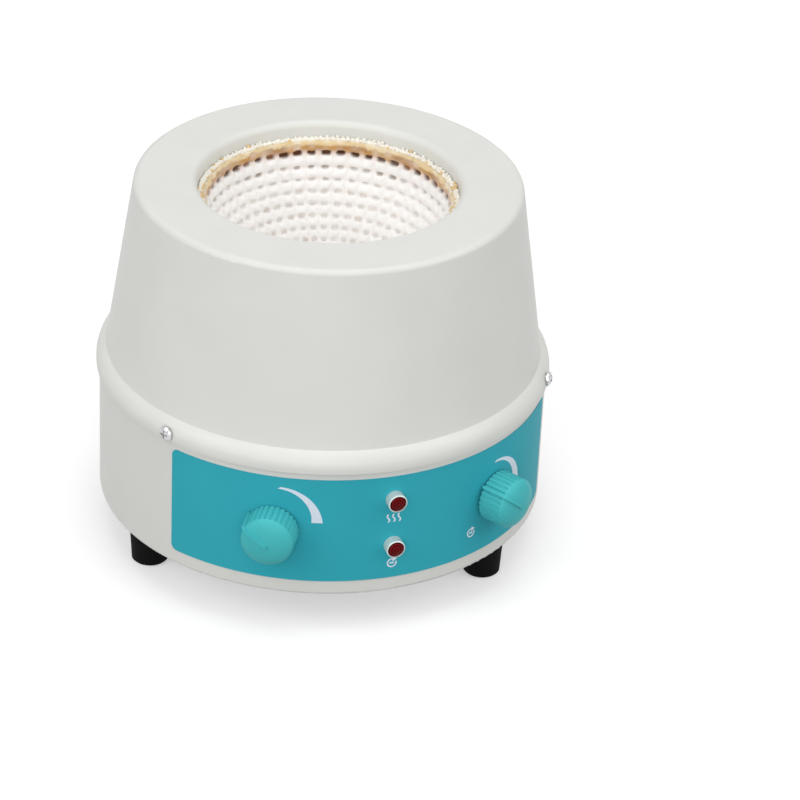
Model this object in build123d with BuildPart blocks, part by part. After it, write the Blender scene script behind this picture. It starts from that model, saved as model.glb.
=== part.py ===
from build123d import *
from math import atan2, cos, degrees, radians, sin, sqrt

# Heating mantle with a magnetic stirrer, for a 500 ml round flask.
# Millimetres and degrees. The origin is on the body axis, on the bench under the feet.
# The control panel faces -Y. An azimuth is counted from the panel's middle, positive to the right.

# ---- Fits ----
running_gap = 0.05  # radial play of a shaft that turns
slip_gap = 0.2  # play round a piece that is slipped into place
contact_gap = 0.02  # two faces that are clamped together

# ---- Feet ----
foot_height = 20.0
foot_top_radius = 9.3
foot_bottom_radius = 8.2
foot_edge = 0.8
foot_inset = 13.8  # from the drum's outside to a foot's middle
foot_recess_radius = 4.6
foot_recess_depth = 8.0
foot_azimuths = {"right_foot": 40.0, "rear_foot": 160.0, "left_foot": -79.5}

# ---- Base drum ----
drum_radius = 100.0
drum_wall = 1.0
drum_edge_radius = 1.5
drum_rise_in_skirt = 3.3  # how far the drum's rim reaches up inside the skirt
bottom_flange_width = 24.0

# ---- Upper shell ----
shell_wall = 1.2
skirt_gap = 0.3
skirt_bottom_rise = 61.75  # skirt's lower edge above the drum's bottom
skirt_band_height = 1.5
shoulder_radius = 9.0
shoulder_step = 4.4  # from the skirt's outside in to the cone's foot
top_ring_width = 27.4  # from the lip out to where the cone would meet the top
top_corner_radius = 2.8
lip_round = 3.0
lip_depth = 8.2

# ---- Heated well ----
bowl_rim_drop = 7.2  # fabric's rim below the shell's top
bowl_radius = 55.2  # in the valleys between the ridges
ridge_height = 1.2
cloth_thickness = 1.8
lip_gap = 0.7  # from the cloth out to the shell's lip
first_row_width = 6.8
row_pitch = 5.7
row_count = 13
column_count = 52
gap_rows = 2
gap_size = 1.8
insulation_drop = 8.5  # insulation's top below the shell's top
insulation_wall = 19.0
insulation_floor = 9.3  # thickness under the bowl
cup_wall = 1.0
cup_corner_radius = 26.0
cup_rim_drop = 12.0
cup_lift = 3.71  # cup's bottom above the magnets

# ---- Control panel ----
panel_half_span = 58.7
panel_bottom_rise = 7.3
panel_height = 50.9
panel_thickness = 0.3
panel_glue = 0.1  # adhesive layer under the panel
panel_corner_radius = 3.0
control_azimuth = 30.5
control_rise = 32.5
lamp_azimuth = -0.5
lamp_rises = {"heat": 47.0, "stir": 24.0}

# ---- Knobs and potentiometers ----
knob_base_radius = 11.6
knob_face_radius = 11.4
knob_lift = 0.6  # knob's lower edge above the panel
knob_edge_height = 11.2  # from the drum's surface
knob_dome_height = 4.2
knob_wall = 1.6
knob_roof = 1.8
rib_count = 30
groove_radius = 0.55
pointer_angles = {"heat": 150.0, "stir": 139.0}  # anticlockwise from the right, seen from the front
pointer_width = 1.5
pointer_proud = 1.1
shaft_radius = 3.0
shaft_top = 11.6
boss_radius = 5.2
boss_gap = 0.6  # between the knob's boss and the bush
bush_radius = 4.5
bush_length = 5.0  # in front of the drum's surface
bush_nut_flats = 11.0
bush_nut_height = 2.0
pot_radius = 12.0
pot_depth = 10.0
pot_bore_depth = 7.0
pot_tab_pitch = 5.0
pot_tab_width = 1.6
pot_tab_length = 9.0
pot_tab_thickness = 1.0

# ---- Indicator lamps ----
lamp_tube_radius = 3.4
lamp_tube_bore = 2.8
lamp_tube_length = 14.0
bezel_radius = 4.2
bezel_height = 5.0
bezel_floor = 1.0
bezel_edge = 0.3
lens_radius = 3.7
lens_sink = 0.7  # lens's edge below the bezel's rim
lens_dome_height = 5.5
lamp_nut_flats = 10.0
lamp_nut_height = 2.0

# ---- Fasteners ----
rim_screw_azimuths = (-60.0, 60.0, 180.0)
rim_screw_rise = 3.5  # above the skirt's lower edge
rim_screw_radius = 1.75
rim_screw_head_radius = 3.4
rim_screw_head_height = 2.2
rim_nut_flats = 6.0
rim_nut_height = 2.8
rim_nut_setback = 0.7
m4_radius = 2.0
m4_head_radius = 3.9
m4_head_height = 2.4
m4_nut_flats = 7.0
m4_nut_height = 3.2
m3_radius = 1.5
m3_head_radius = 2.8
m3_head_height = 1.9
screw_tip = 1.5  # thread that stands out of a nut
recess_width = 0.9
recess_depth = 1.1
recess_span = 0.575  # share of the head's width
crown_share = 0.35  # height of the head's straight edge

# ---- Bottom plate ----
plate_thickness = 1.0
plate_screw_azimuths = (-20.0, 100.0, 220.0)
vent_count = 18
vent_length = 26.0
vent_width = 3.0
vent_circle_radius = 48.0

# ---- Partition and stirrer ----
partition_top_rise = 60.0
partition_wall = 1.2
partition_flange = 7.0
partition_bend = 2.0
partition_hole_radius = 9.0
wire_hole_radius = 6.0
wire_hole_circle = 66.0
post_circle_radius = 45.0
post_radius = 4.0
post_bore_depth = 8.0
post_azimuths = (0.0, 120.0, 240.0)
screw_end_gap = 1.0  # room under a screw's end in a blind hole
motor_radius = 28.0
motor_height = 30.0
motor_edge = 2.5
motor_boss_radius = 7.0
motor_boss_height = 4.0
motor_bore_depth = 12.0
motor_screw_circle = 17.0
motor_screw_count = 4
motor_screw_depth = 6.0
bracket_length = 76.0
bracket_width = 50.0
bracket_corner = 6.0
bracket_wall = 1.5
bracket_drop = 12.5  # bracket's top below the partition
standoff_spacing_x = 60.0
standoff_spacing_y = 36.0
standoff_flats = 6.0
standoff_screw_reach = 5.0
carrier_length = 52.0
carrier_width = 16.0
carrier_thickness = 4.5
carrier_hub_radius = 7.0
carrier_hub_height = 1.5
carrier_lift = 2.5
magnet_radius = 6.0
magnet_height = 4.0
magnet_spacing = 38.0

# ---- Circuit board ----
board_width = 42.0
board_thickness = 1.6
board_corner = 2.0
board_front_reach = 68.0  # from the drum's back in to the board's front edge
board_lift = 8.0
board_standoff_radius = 3.0
board_hole_inset = 4.0
board_margin = 7.5  # from the board's ends to the parts on it
part_gap = 1.0  # between two parts on the board
head_gap = 0.5  # between a part and a screw's head
sink_length = 34.0
sink_depth = 12.0
sink_height = 20.0
sink_inset = 19.0  # its middle from the board's front edge
fin_count = 8
fin_gap = 2.2
fin_share = 0.75  # of the sink's depth
triac_size = (10.0, 4.4, 15.0)
core_size = (26.0, 22.0, 18.0)
coil_size = (18.0, 28.0, 12.0)
coil_corner = 3.0
terminal_pitch = 6.2
terminal_count = 5
terminal_depth = 9.0
terminal_height = 10.0
terminal_inset = 7.0  # its middle from the board's rear edge
terminal_screw_radius = 2.0
terminal_screw_depth = 3.0

# ---- Mains inlet ----
inlet_rise = 25.0
inlet_body = (27.0, 19.8)
inlet_bezel = (31.0, 24.0)
inlet_bezel_height = 3.0
inlet_bezel_corner = 3.0
inlet_body_depth = 22.0
socket_opening = (24.0, 16.2)
socket_corner = 4.0
socket_depth = 16.0
pin_width = 2.0
pin_height = 4.0
pin_spacing = 14.0
pin_offset = 2.0
pin_length = 14.5
pin_tail = 6.0

# ---- Levels and radii that follow from them ----
drum_bottom = foot_height
drum_inner_radius = drum_radius - drum_wall
foot_circle_radius = drum_radius - foot_inset
skirt_radius = drum_radius + skirt_gap + shell_wall
skirt_bottom = drum_bottom + skirt_bottom_rise
drum_top = skirt_bottom + drum_rise_in_skirt
shoulder_base = skirt_bottom + skirt_band_height
shoulder_centre_radius = skirt_radius - shoulder_radius
cone_foot_radius = skirt_radius - shoulder_step
cone_foot_reach = cone_foot_radius - shoulder_centre_radius
cone_foot_height = shoulder_base + sqrt(shoulder_radius**2 - cone_foot_reach**2)
heater_outer_radius = bowl_radius + cloth_thickness
lip_radius = heater_outer_radius + lip_gap
cone_top_radius = lip_radius + top_ring_width
insulation_radius = heater_outer_radius + insulation_wall
cup_inner_radius = insulation_radius + contact_gap
control_height = drum_bottom + control_rise
rim_screw_height = skirt_bottom + rim_screw_rise
plate_bottom = drum_bottom + drum_wall
plate_top = plate_bottom + plate_thickness
partition_top = drum_bottom + partition_top_rise
partition_bottom = partition_top - partition_wall
carrier_bottom = partition_top + carrier_lift
carrier_top = carrier_bottom + carrier_hub_height + carrier_thickness
magnet_bottom = carrier_top + contact_gap
cup_bottom = magnet_bottom + magnet_height + cup_lift
insulation_bottom = cup_bottom + cup_wall + contact_gap
bowl_centre = insulation_bottom + insulation_floor + heater_outer_radius
shell_top = bowl_centre + bowl_rim_drop
insulation_top = shell_top - insulation_drop
bracket_top = partition_bottom - bracket_drop + bracket_wall
motor_top = bracket_top - bracket_wall - contact_gap
panel_face = panel_glue + panel_thickness
knob_base = panel_face + knob_lift
knob_top = knob_edge_height + knob_dome_height
pot_front = sqrt(drum_inner_radius**2 - pot_radius**2) - drum_radius - contact_gap
board_bottom = plate_top + board_lift
board_top = board_bottom + board_thickness
board_front_y = drum_radius - board_front_reach
board_middle_y = board_front_y + board_width / 2
inlet_height = drum_bottom + inlet_rise


def facing(azimuth, distance, height):
    """Plane that looks straight out from the body axis: x to the viewer's right, y up."""
    turn = radians(azimuth)
    return Plane(
        origin=(distance * sin(turn), -distance * cos(turn), height),
        x_dir=(cos(turn), sin(turn), 0),
        z_dir=(sin(turn), -cos(turn), 0),
    )


def upright(azimuth):
    """Half-plane of the body at an azimuth: x is the radius, y the height."""
    turn = radians(azimuth)
    return Plane(origin=(0, 0, 0), x_dir=(sin(turn), -cos(turn), 0), z_dir=(-cos(turn), -sin(turn), 0))


def level(azimuth, radius, height, looking=1):
    """Horizontal plane at a place on a circle round the body axis; looking is 1 up or -1 down."""
    turn = radians(azimuth)
    place = (radius * sin(turn), -radius * cos(turn), height)
    return Plane(origin=place, x_dir=(1, 0, 0), z_dir=(0, 0, looking))


def section(seat, *points):
    """Closed half section of a turned piece on its seat: each point is (radius, height)."""
    with BuildSketch(Plane(origin=seat.origin, x_dir=seat.x_dir, z_dir=seat.y_dir * -1)) as drawn:
        with BuildLine():
            Polyline(*points, close=True)
        make_face()
    return drawn.sketch


def turning(seat):
    """Axis of a turned piece on its seat."""
    return Axis(seat.origin, seat.z_dir)


def cap_middle(rim_radius, rim_height, rise):
    """Point half-way out on the spherical cap that rises over a rim."""
    ball = (rim_radius**2 + rise**2) / (2 * rise)
    return (rim_radius / 2, rim_height + rise - ball + sqrt(ball**2 - rim_radius**2 / 4))


def pan_screw(seat, head_radius, head_height, radius, length):
    """Cross-recessed pan-head screw: the head stands on the seat and the shank goes down from it."""
    crown = head_height * crown_share
    recess_length = 2 * head_radius * recess_span
    with BuildSketch(Plane(origin=seat.origin, x_dir=seat.x_dir, z_dir=seat.y_dir * -1)) as half:
        with BuildLine():
            Polyline((0, head_height), (0, -length), (radius, -length), (radius, 0), (head_radius, 0))
            Line((head_radius, 0), (head_radius, crown))
            ThreePointArc(
                (head_radius, crown),
                cap_middle(head_radius, crown, head_height - crown),
                (0, head_height),
            )
        make_face()
    with BuildPart() as screw:
        revolve(half.sketch, axis=turning(seat))
        with BuildSketch(seat.offset(head_height)):
            Rectangle(recess_length, recess_width)
            Rectangle(recess_width, recess_length)
        extrude(amount=-recess_depth, mode=Mode.SUBTRACT)
    return screw.part


def hexagon_nut(seat, flats, height, bore):
    """Plain hexagon nut that stands on its seat."""
    with BuildPart() as nut:
        with BuildSketch(seat):
            RegularPolygon(flats / 2, 6, major_radius=False)
            Circle(bore, mode=Mode.SUBTRACT)
        extrude(amount=height)
    return nut.part


def keep(piece, node):
    """Label a finished piece and write it under its node's name."""
    piece.part.label = node
    export_step(piece.part, f"parts/{node}.step")


def keep_set(solids, node):
    """Join equal loose pieces, such as screws, into one node and write it."""
    with BuildPart() as together:
        add(solids)
    keep(together, node)


rim_screw_seats = [facing(a, skirt_radius + contact_gap, rim_screw_height) for a in rim_screw_azimuths]
lamp_heights = {name: drum_bottom + rise for name, rise in lamp_rises.items()}
controls = {"heat": -control_azimuth, "stir": control_azimuth}
control_seats = {name: facing(azimuth, drum_radius, control_height) for name, azimuth in controls.items()}
lamp_seats = {name: facing(lamp_azimuth, drum_radius, height) for name, height in lamp_heights.items()}
foot_screw_seats = [level(a, foot_circle_radius, foot_recess_depth, -1) for a in foot_azimuths.values()]
plate_screw_seats = [
    level(azimuth, foot_circle_radius, drum_bottom - contact_gap, -1) for azimuth in plate_screw_azimuths
]

# ---- Upper shell: one spun sheet, from the skirt over the cone and top ring to the lip of the well ----
with BuildPart() as upper_shell:
    with BuildSketch(Plane.XZ):
        with BuildLine():
            shoulder_arc = degrees(atan2(cone_foot_height - shoulder_base, cone_foot_reach))
            Line((skirt_radius, skirt_bottom), (skirt_radius, shoulder_base))
            CenterArc((shoulder_centre_radius, shoulder_base), shoulder_radius, 0, shoulder_arc)
            FilletPolyline(
                (cone_foot_radius, cone_foot_height),
                (cone_top_radius, shell_top),
                (lip_radius, shell_top),
                (lip_radius, shell_top - lip_depth),
                radius=(top_corner_radius, lip_round),
            )
            offset(amount=shell_wall, side=Side.LEFT)
        make_face()
    revolve(axis=Axis.Z)
    with Locations(*rim_screw_seats):
        Cylinder(rim_screw_radius + slip_gap, 6 * shell_wall, mode=Mode.SUBTRACT)
keep(upper_shell, "upper_shell")

# ---- Base drum: one drawn sheet with a turned-in bottom flange, pierced for everything it carries ----
with BuildPart() as base_drum:
    with BuildSketch(Plane.XZ):
        with BuildLine():
            FilletPolyline(
                (drum_radius - bottom_flange_width, drum_bottom),
                (drum_radius, drum_bottom),
                (drum_radius, drum_top),
                radius=drum_edge_radius,
            )
            offset(amount=drum_wall, side=Side.LEFT)
        make_face()
    revolve(axis=Axis.Z)
    with Locations(*control_seats.values()):
        Cylinder(bush_radius + slip_gap, 6 * drum_wall, mode=Mode.SUBTRACT)
    with Locations(*lamp_seats.values()):
        Cylinder(lamp_tube_radius + slip_gap, 6 * drum_wall, mode=Mode.SUBTRACT)
    with Locations(*rim_screw_seats):
        Cylinder(rim_screw_radius + slip_gap, 6 * drum_wall, mode=Mode.SUBTRACT)
    with Locations(*[level(a, foot_circle_radius, drum_bottom) for a in foot_azimuths.values()]):
        Cylinder(m4_radius + slip_gap, 4 * drum_wall, mode=Mode.SUBTRACT)
    with Locations(*plate_screw_seats):
        Cylinder(m3_radius + slip_gap, 4 * drum_wall, mode=Mode.SUBTRACT)
    with BuildSketch(facing(180, drum_radius + drum_wall, inlet_height)):
        Rectangle(inlet_body[0] + 2 * slip_gap, inlet_body[1] + 2 * slip_gap)
    extrude(amount=-6 * drum_wall, mode=Mode.SUBTRACT)
keep(base_drum, "base_drum")

# ---- Bottom plate: lies on the drum's flange, with a ring of cooling slots ----
with BuildPart() as bottom_plate:
    with BuildSketch(Plane.XY.offset(plate_bottom)):
        Circle(drum_inner_radius - drum_edge_radius + drum_wall - slip_gap)
        with PolarLocations(vent_circle_radius, vent_count):
            SlotOverall(vent_length, vent_width, mode=Mode.SUBTRACT)
    extrude(amount=plate_thickness)
    with Locations(*[level(a, foot_circle_radius, plate_bottom) for a in foot_azimuths.values()]):
        Cylinder(m4_radius + slip_gap, 4 * plate_thickness, mode=Mode.SUBTRACT)
    with Locations(*[level(a, foot_circle_radius, plate_bottom) for a in plate_screw_azimuths]):
        Cylinder(m3_radius + contact_gap, 4 * plate_thickness, mode=Mode.SUBTRACT)
keep(bottom_plate, "bottom_plate")

# ---- Feet: tapered rubber, with a recess for the screw's head ----
for foot_name, azimuth in foot_azimuths.items():
    foot_seat = level(azimuth, foot_circle_radius, 0)
    with BuildPart() as foot:
        revolve(
            section(
                foot_seat,
                (m4_radius + slip_gap, foot_height),
                (foot_top_radius, foot_height),
                (foot_bottom_radius, foot_edge),
                (foot_bottom_radius - foot_edge, 0),
                (foot_recess_radius, 0),
                (foot_recess_radius, foot_recess_depth),
                (m4_radius + slip_gap, foot_recess_depth),
            ),
            axis=turning(foot_seat),
        )
    keep(foot, foot_name)

foot_screw_length = plate_top + m4_nut_height + screw_tip - foot_recess_depth
foot_screws = [
    pan_screw(seat.offset(contact_gap), m4_head_radius, m4_head_height, m4_radius, foot_screw_length)
    for seat in foot_screw_seats
]
keep_set(foot_screws, "foot_screws")

foot_nut_seats = [level(a, foot_circle_radius, plate_top + contact_gap) for a in foot_azimuths.values()]
foot_nuts = [
    hexagon_nut(seat, m4_nut_flats, m4_nut_height, m4_radius + contact_gap) for seat in foot_nut_seats
]
keep_set(foot_nuts, "foot_nuts")

plate_screw_length = drum_wall + plate_thickness + screw_tip
plate_screws = [
    pan_screw(seat, m3_head_radius, m3_head_height, m3_radius, plate_screw_length)
    for seat in plate_screw_seats
]
keep_set(plate_screws, "plate_screws")

# ---- Rim screws and their nuts: they clamp the shell's skirt over the drum's rim ----
rim_nut_face = drum_inner_radius - rim_nut_setback
rim_screw_length = skirt_radius - rim_nut_face + rim_nut_height + screw_tip
rim_screws = [
    pan_screw(seat, rim_screw_head_radius, rim_screw_head_height, rim_screw_radius, rim_screw_length)
    for seat in rim_screw_seats
]
keep_set(rim_screws, "rim_screws")

rim_nuts = [
    hexagon_nut(
        facing(azimuth, rim_nut_face - rim_nut_height, rim_screw_height),
        rim_nut_flats,
        rim_nut_height,
        rim_screw_radius + contact_gap,
    )
    for azimuth in rim_screw_azimuths
]
keep_set(rim_nuts, "rim_nuts")

# ---- Control panel: a thin label wrapped on the drum ----
with BuildPart() as control_panel:
    with BuildSketch(upright(-panel_half_span)):
        with Locations((drum_radius + panel_glue, drum_bottom + panel_bottom_rise)):
            Rectangle(panel_thickness, panel_height, align=(Align.MIN, Align.MIN))
    revolve(axis=Axis.Z, revolution_arc=2 * panel_half_span)
    corners = control_panel.edges().filter_by(GeomType.LINE).filter_by(Axis.Z, reverse=True)
    fillet(corners, radius=panel_corner_radius)
    with Locations(*control_seats.values()):
        Cylinder(bush_radius + slip_gap, 6 * drum_wall, mode=Mode.SUBTRACT)
    with Locations(*lamp_seats.values()):
        Cylinder(lamp_tube_radius + slip_gap, 6 * drum_wall, mode=Mode.SUBTRACT)
keep(control_panel, "control_panel")

# ---- Woven heater: a hemispherical cloth with ridged rows and two rows of open mesh under the rim ----
ridge_radius = bowl_radius - ridge_height
row_angles = [(first_row_width + row * row_pitch) / bowl_radius for row in range(row_count)]


def on_bowl(angle, radius):
    """Point of the bowl's half section at an angle below its rim."""
    return (radius * cos(angle), bowl_centre - radius * sin(angle))


mesh_gaps = []
for row_angle in row_angles[:gap_rows]:
    for column in range(column_count):
        gap_turn = radians(360 * column / column_count)
        gap_out = Vector(cos(row_angle) * cos(gap_turn), cos(row_angle) * sin(gap_turn), -sin(row_angle))
        gap_place = Vector(0, 0, bowl_centre) + gap_out * heater_outer_radius
        mesh_gaps.append(Plane(origin=gap_place, x_dir=(-sin(gap_turn), cos(gap_turn), 0), z_dir=gap_out))

with BuildPart() as woven_heater:
    with BuildSketch(Plane.XZ):
        with BuildLine():
            upper_edge = 0.0
            for row_angle in row_angles:
                ThreePointArc(
                    on_bowl(upper_edge, bowl_radius),
                    on_bowl((upper_edge + row_angle) / 2, ridge_radius),
                    on_bowl(row_angle, bowl_radius),
                )
                upper_edge = row_angle
            CenterArc((0, bowl_centre), bowl_radius, -degrees(upper_edge), degrees(upper_edge) - 90)
            Line((0, bowl_centre - bowl_radius), (0, bowl_centre - heater_outer_radius))
            CenterArc((0, bowl_centre), heater_outer_radius, -90, 90)
            Line((heater_outer_radius, bowl_centre), (bowl_radius, bowl_centre))
        make_face()
    revolve(axis=Axis.Z)
    with Locations(*mesh_gaps):
        Box(gap_size, gap_size, 4 * (heater_outer_radius - ridge_radius), mode=Mode.SUBTRACT)
keep(woven_heater, "woven_heater")

# ---- Insulation: a moulded fibre block round the woven heater ----
with BuildPart() as insulation_bowl:
    with BuildSketch(Plane.XZ):
        with BuildLine():
            FilletPolyline(
                (0, insulation_bottom),
                (insulation_radius, insulation_bottom),
                (insulation_radius, insulation_top),
                radius=cup_corner_radius - cup_wall,
            )
            Polyline((insulation_radius, insulation_top), (0, insulation_top), (0, insulation_bottom))
        make_face()
        with Locations((0, bowl_centre)):
            Circle(heater_outer_radius + contact_gap, mode=Mode.SUBTRACT)
    revolve(axis=Axis.Z)
keep(insulation_bowl, "insulation_bowl")

# ---- Inner cup: spun aluminium, holds the insulation ----
with BuildPart() as inner_cup:
    with BuildSketch(Plane.XZ):
        with BuildLine():
            FilletPolyline(
                (0, cup_bottom),
                (cup_inner_radius + cup_wall, cup_bottom),
                (cup_inner_radius + cup_wall, shell_top - cup_rim_drop),
                radius=cup_corner_radius,
            )
            offset(amount=cup_wall, side=Side.LEFT)
        make_face()
    revolve(axis=Axis.Z)
keep(inner_cup, "inner_cup")

# ---- Partition between the hot side and the controls, with a turned-down flange ----
standoff_places = GridLocations(standoff_spacing_x, standoff_spacing_y, 2, 2).local_locations
with BuildPart() as partition_plate:
    with BuildSketch(Plane.XZ):
        with BuildLine():
            FilletPolyline(
                (partition_hole_radius, partition_top),
                (drum_inner_radius - slip_gap, partition_top),
                (drum_inner_radius - slip_gap, partition_top - partition_flange),
                radius=partition_bend,
            )
            offset(amount=partition_wall, side=Side.RIGHT)
        make_face()
    revolve(axis=Axis.Z)
    with BuildSketch(Plane.XY.offset(partition_top)):
        with Locations((0, wire_hole_circle)):
            Circle(wire_hole_radius)
        with PolarLocations(post_circle_radius, len(post_azimuths), start_angle=-90):
            Circle(m3_radius + slip_gap)
        with GridLocations(standoff_spacing_x, standoff_spacing_y, 2, 2):
            Circle(m3_radius + slip_gap)
    extrude(amount=-2 * partition_wall, mode=Mode.SUBTRACT)
keep(partition_plate, "partition_plate")

# ---- Posts that carry the inner cup on the partition, and their screws from below ----
post_bottom = partition_top + contact_gap
post_height = cup_bottom - contact_gap - post_bottom
with BuildPart() as cup_posts:
    for azimuth in post_azimuths:
        post_seat = level(azimuth, post_circle_radius, post_bottom)
        with BuildSketch(post_seat):
            Circle(post_radius)
        extrude(amount=post_height)
        with BuildSketch(post_seat):
            Circle(m3_radius + contact_gap)
        extrude(amount=post_bore_depth, mode=Mode.SUBTRACT)
keep(cup_posts, "cup_posts")

post_screw_length = partition_wall + post_bore_depth - screw_end_gap
post_screws = [
    pan_screw(
        level(azimuth, post_circle_radius, partition_bottom - contact_gap, -1),
        m3_head_radius,
        m3_head_height,
        m3_radius,
        post_screw_length,
    )
    for azimuth in post_azimuths
]
keep_set(post_screws, "post_screws")

# ---- Stirring motor, hung under the partition on a bracket and four standoffs ----
with BuildPart() as motor_standoffs:
    for place in standoff_places:
        standoff_seat = Plane(origin=(place.position.X, place.position.Y, bracket_top + contact_gap))
        with BuildSketch(standoff_seat):
            RegularPolygon(standoff_flats / 2, 6, major_radius=False)
            Circle(m3_radius + contact_gap, mode=Mode.SUBTRACT)
        extrude(amount=partition_bottom - bracket_top - 2 * contact_gap)
keep(motor_standoffs, "motor_standoffs")

upper_reach = partition_wall + standoff_screw_reach
lower_reach = bracket_wall + standoff_screw_reach
bracket_bottom = bracket_top - bracket_wall
standoff_screws = []
for place in standoff_places:
    upper = Plane(origin=(place.position.X, place.position.Y, partition_top + contact_gap))
    lower = Plane(
        origin=(place.position.X, place.position.Y, bracket_bottom - contact_gap),
        x_dir=(1, 0, 0),
        z_dir=(0, 0, -1),
    )
    standoff_screws.append(pan_screw(upper, m3_head_radius, m3_head_height, m3_radius, upper_reach))
    standoff_screws.append(pan_screw(lower, m3_head_radius, m3_head_height, m3_radius, lower_reach))
keep_set(standoff_screws, "standoff_screws")

with BuildPart() as motor_bracket:
    with BuildSketch(Plane.XY.offset(bracket_top - bracket_wall)):
        RectangleRounded(bracket_length, bracket_width, bracket_corner)
        Circle(motor_boss_radius + slip_gap, mode=Mode.SUBTRACT)
        with PolarLocations(motor_screw_circle, motor_screw_count):
            Circle(m3_radius + slip_gap, mode=Mode.SUBTRACT)
        with GridLocations(standoff_spacing_x, standoff_spacing_y, 2, 2):
            Circle(m3_radius + slip_gap, mode=Mode.SUBTRACT)
    extrude(amount=bracket_wall)
keep(motor_bracket, "motor_bracket")

with BuildPart() as stirring_motor:
    with BuildSketch(Plane.XY.offset(motor_top - motor_height)):
        Circle(motor_radius)
    extrude(amount=motor_height)
    fillet(stirring_motor.edges().filter_by(GeomType.CIRCLE), radius=motor_edge)
    with BuildSketch(Plane.XY.offset(motor_top)):
        Circle(motor_boss_radius)
    extrude(amount=motor_boss_height)
    with BuildSketch(Plane.XY.offset(motor_top + motor_boss_height)):
        Circle(shaft_radius + running_gap)
    extrude(amount=-motor_bore_depth, mode=Mode.SUBTRACT)
    with BuildSketch(Plane.XY.offset(motor_top)):
        with PolarLocations(motor_screw_circle, motor_screw_count):
            Circle(m3_radius + contact_gap)
    extrude(amount=-motor_screw_depth, mode=Mode.SUBTRACT)
keep(stirring_motor, "stirring_motor")

motor_screw_length = bracket_wall + motor_screw_depth - screw_end_gap
motor_screw_places = PolarLocations(motor_screw_circle, motor_screw_count).local_locations
motor_screws = []
for place in motor_screw_places:
    seat = Plane(origin=(place.position.X, place.position.Y, bracket_top + contact_gap))
    motor_screws.append(pan_screw(seat, m3_head_radius, m3_head_height, m3_radius, motor_screw_length))
keep_set(motor_screws, "motor_screws")

# ---- Magnet carrier on the motor's shaft, just under the inner cup ----
shaft_bottom = motor_top + motor_boss_height - motor_bore_depth + slip_gap
with BuildPart() as motor_shaft:
    with BuildSketch(Plane.XY.offset(shaft_bottom)):
        Circle(shaft_radius)
    extrude(amount=carrier_top - shaft_bottom)
keep(motor_shaft, "motor_shaft")

with BuildPart() as magnet_carrier:
    with BuildSketch(Plane.XY.offset(carrier_bottom)):
        Circle(carrier_hub_radius)
    extrude(amount=carrier_hub_height)
    with BuildSketch(Plane.XY.offset(carrier_bottom + carrier_hub_height)):
        SlotOverall(carrier_length, carrier_width)
    extrude(amount=carrier_thickness)
    with BuildSketch(Plane.XY.offset(carrier_bottom)):
        Circle(shaft_radius + contact_gap)
    extrude(amount=carrier_top - carrier_bottom, mode=Mode.SUBTRACT)
keep(magnet_carrier, "magnet_carrier")

with BuildPart() as stirring_magnets:
    with BuildSketch(Plane.XY.offset(magnet_bottom)):
        with GridLocations(magnet_spacing, 0, 2, 1):
            Circle(magnet_radius)
    extrude(amount=magnet_height)
keep(stirring_magnets, "stirring_magnets")

# ---- Knobs and potentiometers ----
knob_cavity_radius = knob_base_radius - knob_wall
knob_cavity_top = knob_edge_height - knob_roof
boss_bottom = bush_length + boss_gap
shaft_end = pot_front - pot_bore_depth + slip_gap

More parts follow.
